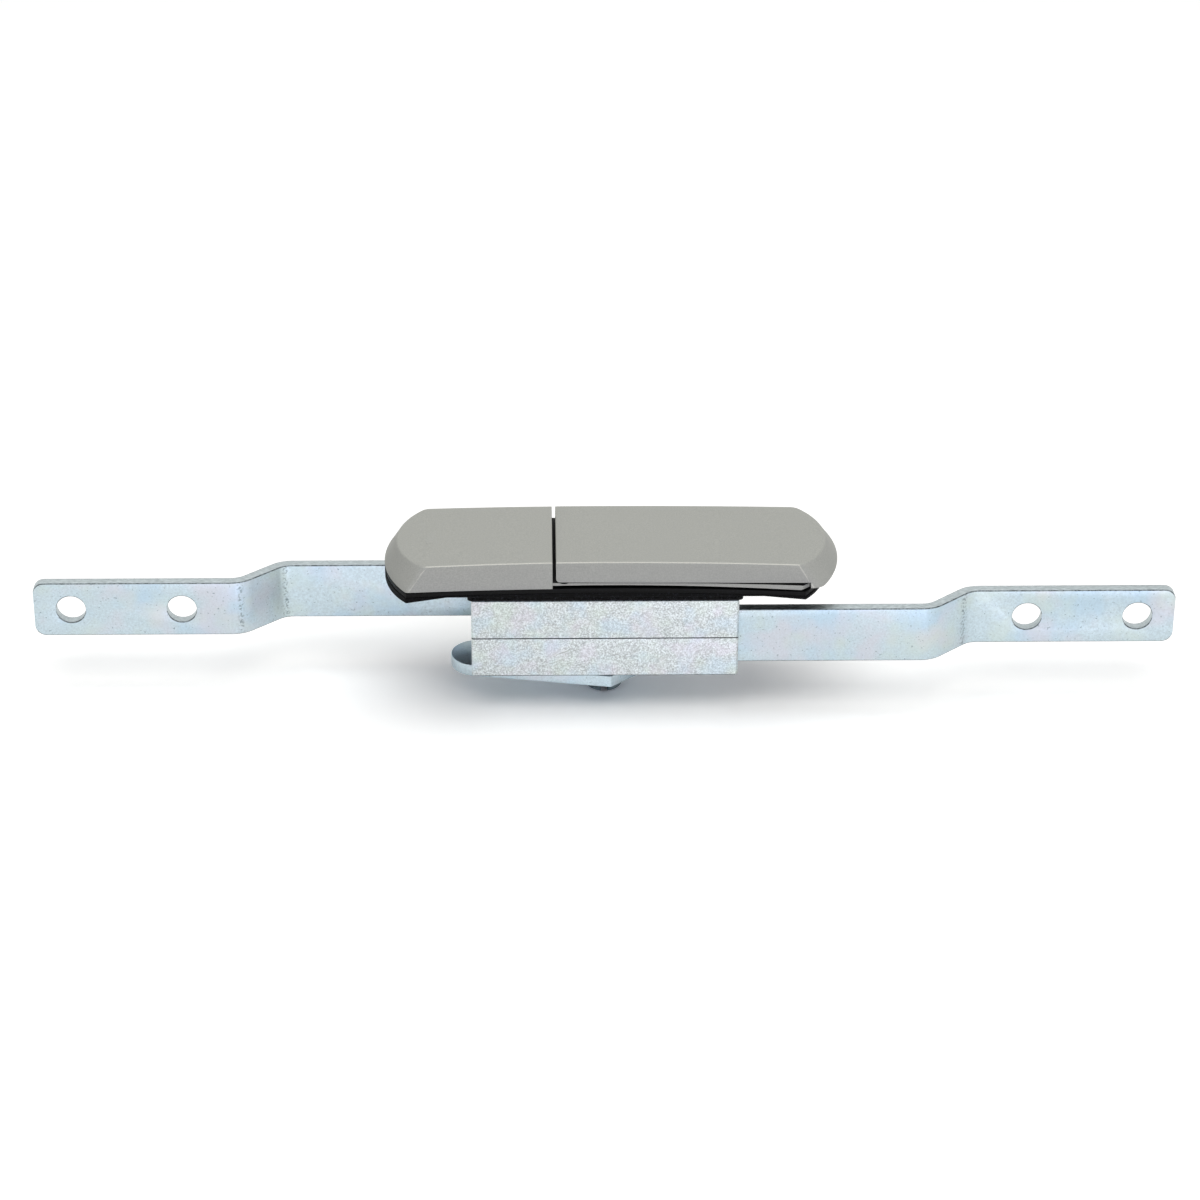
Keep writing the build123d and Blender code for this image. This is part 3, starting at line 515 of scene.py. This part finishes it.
def outer_wall(node, low, high):
    """A copy of the outermost upright faces of a CAD node between two heights."""
    shape = merged_shape(frame["nodes"][node].data)
    for height, up in ((low, -1), (high, 1)):
        bmesh.ops.bisect_plane(
            shape,
            geom=shape.verts[:] + shape.edges[:] + shape.faces[:],
            plane_co=(0, 0, height),
            plane_no=(0, 0, up),
            clear_outer=True,
        )
    reach = [max(abs(vert.co[axis]) for vert in shape.verts) for axis in (0, 1)]

    def is_inner(face):
        middle = face.calc_center_median()
        share = max(abs(middle[axis]) / reach[axis] for axis in (0, 1))
        return abs(face.normal.z) > WALL_LEAN or share < WALL_SHARE

    inner = [face for face in shape.faces if is_inner(face)]
    bmesh.ops.delete(shape, geom=inner, context="FACES")
    mesh = bpy.data.meshes.new("outer_wall")
    shape.to_mesh(mesh)
    shape.free()
    return mesh


def grain_tree(material):
    """Geometry nodes that strew rough little grains over a surface."""
    tree = bpy.data.node_groups.new("strewn grains", "GeometryNodeTree")
    sockets = tree.interface
    sockets.new_socket("Surface", in_out="INPUT", socket_type="NodeSocketGeometry")
    for name in ("Spacing", "Smallest grain", "Largest grain"):
        sockets.new_socket(name, in_out="INPUT", socket_type="NodeSocketFloat").subtype = "DISTANCE"
    sockets.new_socket("Seed", in_out="INPUT", socket_type="NodeSocketInt")
    sockets.new_socket("Grains", in_out="OUTPUT", socket_type="NodeSocketGeometry")
    given = add_node(tree, "NodeGroupInput").outputs
    places = add_node(
        tree,
        "GeometryNodeDistributePointsOnFaces",
        {
            "Mesh": given["Surface"],
            "Distance Min": given["Spacing"],
            "Density Max": GRAIN_DENSITY,
            "Seed": given["Seed"],
        },
        distribute_method="POISSON",
    )
    grain_shape = add_node(tree, "GeometryNodeMeshIcoSphere", {"Radius": 1.0, "Subdivisions": 1})
    radius = add_node(
        tree,
        "FunctionNodeRandomValue",
        {2: given["Smallest grain"], 3: given["Largest grain"], "Seed": given["Seed"]},
        data_type="FLOAT",
    )
    turn = add_node(
        tree,
        "FunctionNodeRandomValue",
        {0: (0.0, 0.0, 0.0), 1: (math.tau, math.tau, math.tau), "Seed": given["Seed"]},
        data_type="FLOAT_VECTOR",
    )
    grains = add_node(
        tree,
        "GeometryNodeInstanceOnPoints",
        {
            "Points": places.outputs["Points"],
            "Instance": grain_shape.outputs["Mesh"],
            "Rotation": turn.outputs[0],
            "Scale": radius.outputs[1],
        },
    )
    realized = add_node(tree, "GeometryNodeRealizeInstances", {"Geometry": grains.outputs[0]})
    finished = add_node(
        tree, "GeometryNodeSetMaterial", {"Geometry": realized.outputs[0], "Material": material}
    )
    add_node(tree, "NodeGroupOutput", {"Grains": finished.outputs[0]})
    return tree


def strew_grains(name, surface, look, finish, sizes, body):
    """A piece of small grains strewn over a surface; sizes are the tree's inputs by name."""
    piece = link_object(name, surface, finish_material(look, finish))
    strewn = piece.modifiers.new("strewn grains", "NODES")
    strewn.node_group = grain_tree(finish_material(look, finish))
    for item in strewn.node_group.interface.items_tree:
        if item.in_out == "INPUT" and item.name in sizes:
            strewn[item.identifier] = sizes[item.name]
    flatten(piece)
    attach(piece, body)
    return piece


def finish_node(node, look):
    """Gives a CAD node that stays in view its finish."""
    mesh = frame["nodes"][node].data
    mesh.materials.clear()
    mesh.materials.append(finish_material(look, node_slot(node)))


# ---------------------------------------------------------------- settings


class LockLook(bpy.types.PropertyGroup):
    """Colours and edge rounds of the lock."""

    paint_colour: FloatVectorProperty(
        name="Lacquer",
        description="Colour of the head cover, the lever and the handle frame",
        subtype="COLOR",
        size=4,
        min=0.0,
        max=1.0,
        default=srgb("ABACA6"),
    )
    casting_colour: FloatVectorProperty(
        name="Casting",
        description="Colour of the gearbox shell's zinc plate",
        subtype="COLOR",
        size=4,
        min=0.0,
        max=1.0,
        default=srgb("CAD0D1"),
    )
    plate_colour: FloatVectorProperty(
        name="Strip",
        description="Colour of the zinc plate on the rods and the cam",
        subtype="COLOR",
        size=4,
        min=0.0,
        max=1.0,
        default=srgb("BFCED5"),
    )
    rubber_colour: FloatVectorProperty(
        name="Rubber",
        description="Colour of the gasket, the foam and the base",
        subtype="COLOR",
        size=4,
        min=0.0,
        max=1.0,
        default=srgb("050505"),
    )
    # Colour of the painted highlight along the covers' long edges.
    edge_highlight_colour: FloatVectorProperty(
        name="Painted edge highlight",
        description="Colour of the lacquer along the long edges of the covers",
        subtype="COLOR",
        size=4,
        min=0.0,
        max=1.0,
        default=srgb("BFBFB7"),
    )
    cover_round: FloatProperty(
        name="Cover edges",
        description="Round of the head cover's and the lever's edges",
        unit="LENGTH",
        subtype="DISTANCE",
        default=0.08 * MM,
        min=0.0,
    )
    casting_round: FloatProperty(
        name="Casting edges",
        description="Round of the gearbox shell's edges",
        unit="LENGTH",
        subtype="DISTANCE",
        default=0.12 * MM,
        min=0.0,
    )
    strip_round: FloatProperty(
        name="Strip edges",
        description="Round of the rods' and the cam's edges",
        unit="LENGTH",
        subtype="DISTANCE",
        default=0.25 * MM,
        min=0.0,
    )
    grain_size: FloatProperty(
        name="Foam grain",
        description="Radius of the largest grains of the foam round the base's neck",
        unit="LENGTH",
        subtype="DISTANCE",
        default=0.24 * MM,
        min=0.0,
    )
    grain_spacing: FloatProperty(
        name="Foam spacing",
        description="Least distance between the foam's grains",
        unit="LENGTH",
        subtype="DISTANCE",
        default=0.34 * MM,
        min=0.05 * MM,
    )
    edge_segments: IntProperty(
        name="Round segments",
        description="Faces across each rounded edge",
        default=3,
        min=1,
        max=8,
    )


class LockStage(bpy.types.PropertyGroup):
    """Camera, floor and light."""

    camera_distance: FloatProperty(
        name="Camera distance",
        description="Camera to the point that it looks at",
        unit="LENGTH",
        subtype="DISTANCE",
        default=0.98047,
        min=0.1,
    )
    camera_elevation: FloatProperty(
        name="Camera elevation",
        description="Camera's height above the horizon, as an angle",
        unit="ROTATION",
        subtype="ANGLE",
        default=math.radians(29.347),
    )
    camera_azimuth: FloatProperty(
        name="Camera azimuth",
        description="Camera's turn about the spindle axis",
        unit="ROTATION",
        subtype="ANGLE",
        default=math.radians(-1.19),
    )
    camera_roll: FloatProperty(
        name="Camera roll",
        description="Camera's turn about its own line of sight",
        unit="ROTATION",
        subtype="ANGLE",
        default=math.radians(0.319),
    )
    camera_lens: FloatProperty(
        name="Focal length",
        description="Focal length on a 36 mm sensor, in millimetres",
        unit="CAMERA",
        default=108.62,
        min=1.0,
    )
    fill: FloatProperty(
        name="Fill light",
        description="Strength of the light from all round on matt surfaces",
        default=0.50,
        min=0.0,
    )
    shade: FloatProperty(
        name="Shaded side",
        description="Share of the fill light left where it is weakest, low at the front left",
        subtype="FACTOR",
        default=0.2,
        min=0.0,
        max=1.0,
    )
    key: FloatProperty(
        name="Key light",
        description="Power of the large overhead lamp, in watts",
        default=28.0,
        min=0.0,
    )
    front: FloatProperty(
        name="Front light",
        description="Power of the lamp at the front, in watts",
        default=9.3,
        min=0.0,
    )


# ---------------------------------------------------------------- studio


def seen_rays(tree):
    """1 for rays that see, mirror or pass through to a surface, and 0 for those that light it."""
    rays = add_node(tree, "ShaderNodeLightPath").outputs
    seen = rays["Is Camera Ray"]
    for kind in ("Is Glossy Ray", "Is Transmission Ray"):
        either = {0: seen, 1: rays[kind]}
        seen = add_node(tree, "ShaderNodeMath", either, operation="MAXIMUM").outputs[0]
    return seen


def build_floor():
    """White floor just under the cam screw's head: plain white far out, and clear from below."""
    mesh = bpy.data.meshes.new("floor")
    height = cad_box[0].z - FLOOR_GAP
    signs = ((-1, -1), (1, -1), (1, 1), (-1, 1))
    corners = [(x * FLOOR_REACH, y * FLOOR_REACH, height) for x, y in signs]
    mesh.from_pydata(corners, [], [(0, 1, 2, 3)])
    material, tree, place = new_material("white paper sweep")
    seen = seen_rays(tree)
    fibre = grain(tree, place, 3 * MM, detail=2.0)
    paper = two_tones(tree, fibre, 0.3, 0.7, srgb("FBFBFA"), srgb("FDFDFC"))
    lift = {"Value": seen, "To Min": FLOOR_BOUNCE, "To Max": FLOOR_LIFT}
    strength = add_node(tree, "ShaderNodeMapRange", lift).outputs[0]
    lifted = {0: paper, "Scale": strength}
    matt = {
        "Base Color": add_node(tree, "ShaderNodeVectorMath", lifted, operation="SCALE").outputs[0],
        "Roughness": 0.9,
        "Specular IOR Level": 0.0,
    }
    lit = add_node(tree, "ShaderNodeBsdfPrincipled", matt).outputs[0]
    away = add_node(tree, "ShaderNodeVectorMath", {0: place}, operation="LENGTH").outputs["Value"]
    span = {"Value": away, "From Min": FLOOR_FADE, "From Max": FLOOR_WHITE}
    far = add_node(tree, "ShaderNodeMapRange", span).outputs[0]
    fade = add_node(tree, "ShaderNodeMath", {0: far, 1: seen}, operation="MULTIPLY").outputs[0]
    glow = {"Color": (1, 1, 1, 1), "Strength": 1.0}
    white = add_node(tree, "ShaderNodeEmission", glow).outputs[0]
    swept = add_node(tree, "ShaderNodeMixShader", {0: fade, 1: lit, 2: white}).outputs[0]
    below = add_node(tree, "ShaderNodeNewGeometry").outputs["Backfacing"]
    clear = add_node(tree, "ShaderNodeBsdfTransparent").outputs[0]
    whole = add_node(tree, "ShaderNodeMixShader", {0: below, 1: swept, 2: clear}).outputs[0]
    add_node(tree, "ShaderNodeOutputMaterial", {"Surface": whole})
    link_object("studio_floor", mesh, material)


def build_world(scene, stage):
    """White surroundings: full strength where they are seen or mirrored, and less as light on
    matt surfaces, least from low down at the front left."""
    world = bpy.data.worlds.new("studio")
    world.use_nodes = True
    scene.world = world
    tree = world.node_tree
    tree.nodes.clear()
    way = add_node(tree, "ShaderNodeTexCoord").outputs["Generated"]
    both = {0: way, 1: SHADED_SIDE}
    toward = add_node(tree, "ShaderNodeVectorMath", both, operation="DOT_PRODUCT")
    shade = add_node(
        tree,
        "ShaderNodeMapRange",
        {
            "Value": toward.outputs["Value"],
            "From Min": SHADE_RANGE[0],
            "From Max": SHADE_RANGE[1],
            "To Min": stage.fill,
            "To Max": stage.fill * stage.shade,
        },
    ).outputs[0]
    strength = add_node(tree, "ShaderNodeMix", {0: seen_rays(tree), 2: shade, 3: 1.0}).outputs[0]
    light = {"Color": (1, 1, 1, 1), "Strength": strength}
    background = add_node(tree, "ShaderNodeBackground", light)
    add_node(tree, "ShaderNodeOutputWorld", {"Surface": background.outputs[0]})


def build_lamps(scene, stage):
    """A large soft box overhead, a little behind, and a cooler one low at the front."""
    centre = (cad_box[0] + cad_box[1]) / 2
    # Name, place from the middle of the lock, side length, power and colour.
    lamps = (
        ("overhead", (0.0, -0.40, 1.95), 2.2, stage.key, (1.0, 1.0, 0.985)),
        ("front", (0.20, -1.76, 0.20), 0.8, stage.front, (0.79, 0.78, 1.0)),
    )
    for name, offset, size, power, colour in lamps:
        data = bpy.data.lights.new(name, "AREA")
        data.shape = "SQUARE"
        data.size = size
        data.energy = power
        data.color = colour
        lamp = bpy.data.objects.new(name, data)
        lamp.location = centre + Vector(offset)
        lamp.rotation_mode = "QUATERNION"
        lamp.rotation_quaternion = (-Vector(offset)).to_track_quat("-Z", "Y")
        scene.collection.objects.link(lamp)


def build_camera(scene, stage):
    """Camera above the front of the lock, nearly square on."""
    data = bpy.data.cameras.new("camera")
    data.lens = stage.camera_lens
    data.sensor_width = 36.0
    data.clip_start = 0.05
    data.clip_end = 20.0
    camera = bpy.data.objects.new("camera", data)
    azimuth, elevation = stage.camera_azimuth, stage.camera_elevation
    back = Vector(
        (
            math.sin(azimuth) * math.cos(elevation),
            -math.cos(azimuth) * math.cos(elevation),
            math.sin(elevation),
        )
    )
    target = (cad_box[0] + cad_box[1]) / 2 + AIM_OFFSET
    aim = (-back).to_track_quat("-Z", "Y").to_matrix().to_4x4()
    camera.matrix_world = (
        Matrix.Translation(target + back * stage.camera_distance)
        @ aim
        @ Matrix.Rotation(stage.camera_roll, 4, "Z")
    )
    scene.collection.objects.link(camera)
    scene.camera = camera


# ---------------------------------------------------------------- operators


class LOCK_OT_covers(bpy.types.Operator):
    """Round and paint the head cover and the lever"""

    bl_idname = "swing_lock.covers"
    bl_label = "Head cover and lever"

    def execute(self, context):
        look = context.scene.lock_look
        for node in ("head_cover", "lever"):
            name, edge = f"{node}_shell", look.cover_round
            shell = rounded_copy(name, node, look, edge, sharp=SHARP_COVER, flat=FLAT_COVER)
            # The rounds along the covers' long sides get the paler lacquer as a painted highlight.
            finish_faces(shell, look, "edge_highlight_paint", is_long_edge)
        return {"FINISHED"}


class LOCK_OT_handle_frame(bpy.types.Operator):
    """Round and paint the frame under the covers, with the pieces that it carries"""

    bl_idname = "swing_lock.handle_frame"
    bl_label = "Handle frame"

    def execute(self, context):
        look = context.scene.lock_look
        edge = look.cover_round / 2
        casting = rounded_copy("handle_frame_casting", "handle_frame", look, edge)
        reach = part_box("handle_frame")[1]

        # Faces inside the rim, on its top and above RIM_TOP are painted black as the shade in the
        # gap between the covers and under the lever.
        def is_inside(face):
            share = max(abs(face.center.y) / reach.y, face.center.x / reach.x)
            return abs(face.normal.z) > LEVEL or share < RIM_SHARE or face.center.z > RIM_TOP

        finish_faces(casting, look, "painted_shade_casting", is_inside)
        for node in (
            "head_cover_screws",
            "hinge_pin",
            "lever_bumpers",
            "retaining_ring",
            "square_spindle",
        ):
            finish_node(node, look)
        return {"FINISHED"}


class LOCK_OT_base(bpy.types.Operator):
    """Finish the base plate, its gasket and the thrust washer"""

    bl_idname = "swing_lock.base"
    bl_label = "Base and gasket"

    def execute(self, context):
        look = context.scene.lock_look
        rounded_copy("base_moulding", "base_plate", look, look.cover_round)
        rounded_copy("gasket_sheet", "base_gasket", look, look.strip_round)
        finish_node("thrust_washer", look)
        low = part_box("base_plate")[0].z + look.grain_size
        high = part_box("gearbox_upper_housing")[1].z + NECK_IN_VIEW - look.grain_size
        sizes = {
            "Spacing": look.grain_spacing,
            "Smallest grain": look.grain_size / 2,
            "Largest grain": look.grain_size,
            "Seed": FOAM_SEED,
        }
        wall = outer_wall("base_plate", low, high)
        body, slot = node_body("base_plate"), node_slot("base_gasket")
        strew_grains("neck_foam", wall, look, "cell_foam", sizes, body)
        return {"FINISHED"}


class LOCK_OT_gearbox(bpy.types.Operator):
    """Round and finish the gearbox shell, with the pieces inside and the screws through it"""

    bl_idname = "swing_lock.gearbox"
    bl_label = "Gearbox"

    def execute(self, context):
        look = context.scene.lock_look
        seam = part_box("gearbox_lower_housing")[1].z

        def is_seam(face):
            return abs(face.center.z - seam) < SEAM_REACH

        for side in ("upper", "lower"):
            node, edge = f"gearbox_{side}_housing", look.casting_round
            casting = rounded_copy(f"{side}_casting", node, look, edge)
            # The rounds at the shell's corners get a grey line of painted shade.
            finish_faces(casting, look, "corner_shade_line", is_corner)
            # The faces at the seam between the housings are painted black as the shade in the
            # groove.
            finish_faces(casting, look, "recess_shade", is_seam)
        for node in ("pinion", "upper_bush", "lower_bush", "mounting_screws", "gearbox_rivets"):
            finish_node(node, look)
        return {"FINISHED"}


class LOCK_OT_rods(bpy.types.Operator):
    """Round and finish the two rack rods"""

    bl_idname = "swing_lock.rods"
    bl_label = "Rack rods"

    def execute(self, context):
        look = context.scene.lock_look
        for side in ("left", "right"):
            node, edge = f"{side}_rod", look.strip_round
            strip = rounded_copy(f"{side}_strip", node, look, edge, clamp=False)
            finish_faces(strip, look, "sheared_edge", is_strip_edge)
            # The rounds between the strip's faces and its edges get a grey line of painted shade.
            finish_faces(strip, look, "corner_shade_line", is_strip_corner)
        return {"FINISHED"}


class LOCK_OT_cam(bpy.types.Operator):
    """Round and finish the cam, its washers and its screw"""

    bl_idname = "swing_lock.cam"
    bl_label = "Cam and its screw"

    def execute(self, context):
        look = context.scene.lock_look
        rounded_copy("cam_blank", "cam", look, look.strip_round)
        for node in ("cam_washer", "cam_spring_washer"):
            rounded_copy(f"{node}_turned", node, look, look.casting_round)
        screw = rounded_copy("cam_screw_turned", "cam_screw", look, look.casting_round)
        slot_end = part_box("cam_screw")[0].z + SLOT_DEPTH

        def in_slot(face):
            return abs(face.center.x) < SLOT_REACH and face.center.z < slot_end

        # The slot's faces are painted black as the shade inside it.
        finish_faces(screw, look, "recess_shade", in_slot)
        return {"FINISHED"}


class LOCK_OT_stage(bpy.types.Operator):
    """Build the floor, the light and the camera"""

    bl_idname = "swing_lock.stage"
    bl_label = "Studio"

    def execute(self, context):
        stage = context.scene.lock_stage
        build_floor()
        build_world(context.scene, stage)
        build_lamps(context.scene, stage)
        build_camera(context.scene, stage)
        context.scene.view_settings.view_transform = "Standard"
        return {"FINISHED"}


# ---------------------------------------------------------------- panel and run


class LOCK_PT_panel(bpy.types.Panel):
    """Lists the lock's pieces and their settings"""

    bl_idname = "LOCK_PT_panel"
    bl_label = "Swing Handle Lock"
    bl_space_type = "VIEW_3D"
    bl_region_type = "UI"
    bl_category = "Swing Lock"

    def draw(self, context):
        for operator in OPERATORS:
            self.layout.operator(operator.bl_idname)
        for settings in (context.scene.lock_look, context.scene.lock_stage):
            box = self.layout.box()
            for name in settings.__annotations__:
                box.prop(settings, name)


OPERATORS = (
    LOCK_OT_covers,
    LOCK_OT_handle_frame,
    LOCK_OT_base,
    LOCK_OT_gearbox,
    LOCK_OT_rods,
    LOCK_OT_cam,
    LOCK_OT_stage,
)
CLASSES = (LockLook, LockStage, *OPERATORS, LOCK_PT_panel)


def register():
    for cls in CLASSES:
        bpy.utils.register_class(cls)
    bpy.types.Scene.lock_look = PointerProperty(type=LockLook)
    bpy.types.Scene.lock_stage = PointerProperty(type=LockStage)


def unregister():
    del bpy.types.Scene.lock_stage
    del bpy.types.Scene.lock_look
    for cls in reversed(CLASSES):
        bpy.utils.unregister_class(cls)


def main():
    register()
    bpy.ops.swing_lock.covers()
    bpy.ops.swing_lock.handle_frame()
    bpy.ops.swing_lock.base()
    bpy.ops.swing_lock.gearbox()
    bpy.ops.swing_lock.rods()
    bpy.ops.swing_lock.cam()
    bpy.ops.swing_lock.stage()


if __name__ == "__main__":
    main()
